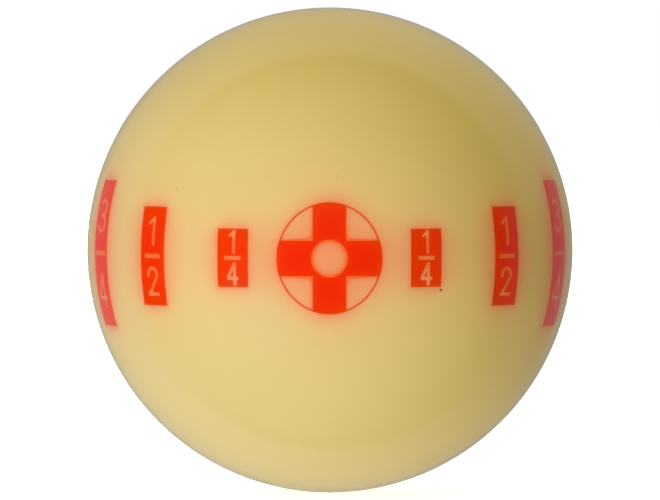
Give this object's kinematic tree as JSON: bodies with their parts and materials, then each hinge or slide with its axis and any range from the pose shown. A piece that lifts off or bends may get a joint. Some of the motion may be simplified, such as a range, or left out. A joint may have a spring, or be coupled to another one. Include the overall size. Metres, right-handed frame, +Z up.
{
  "type": "practice cue ball",
  "caption": "Cream cue ball for aiming practice, with a red cross-in-a-ring target and red bars marked with fractions inlaid flush round the front of its equator.",
  "frame": {"origin": "centre of the ball", "axes": "+Z up, the pole of the ring of marks; the target faces -Y; the marks run round the equator to +X and -X"},
  "size_m": [0.0572, 0.0572, 0.0572],
  "materials": {
    "cream_resin": "cast phenolic resin, polished to a high gloss, faintly translucent",
    "red_resin": "orange-red resin inlay, polished flush with the ball"
  },
  "bodies": {
    "root": {"ball_body": "cream_resin", "target_mark": "red_resin", "left_quarter_mark": "red_resin", "left_quarter_counter": "red_resin", "left_half_mark": "red_resin", "left_three_quarter_mark": "red_resin", "left_three_quarter_counter": "red_resin", "right_quarter_mark": "red_resin", "right_quarter_counter": "red_resin", "right_half_mark": "red_resin", "right_three_quarter_mark": "red_resin", "right_three_quarter_counter": "red_resin"}
  },
  "joints": []
}
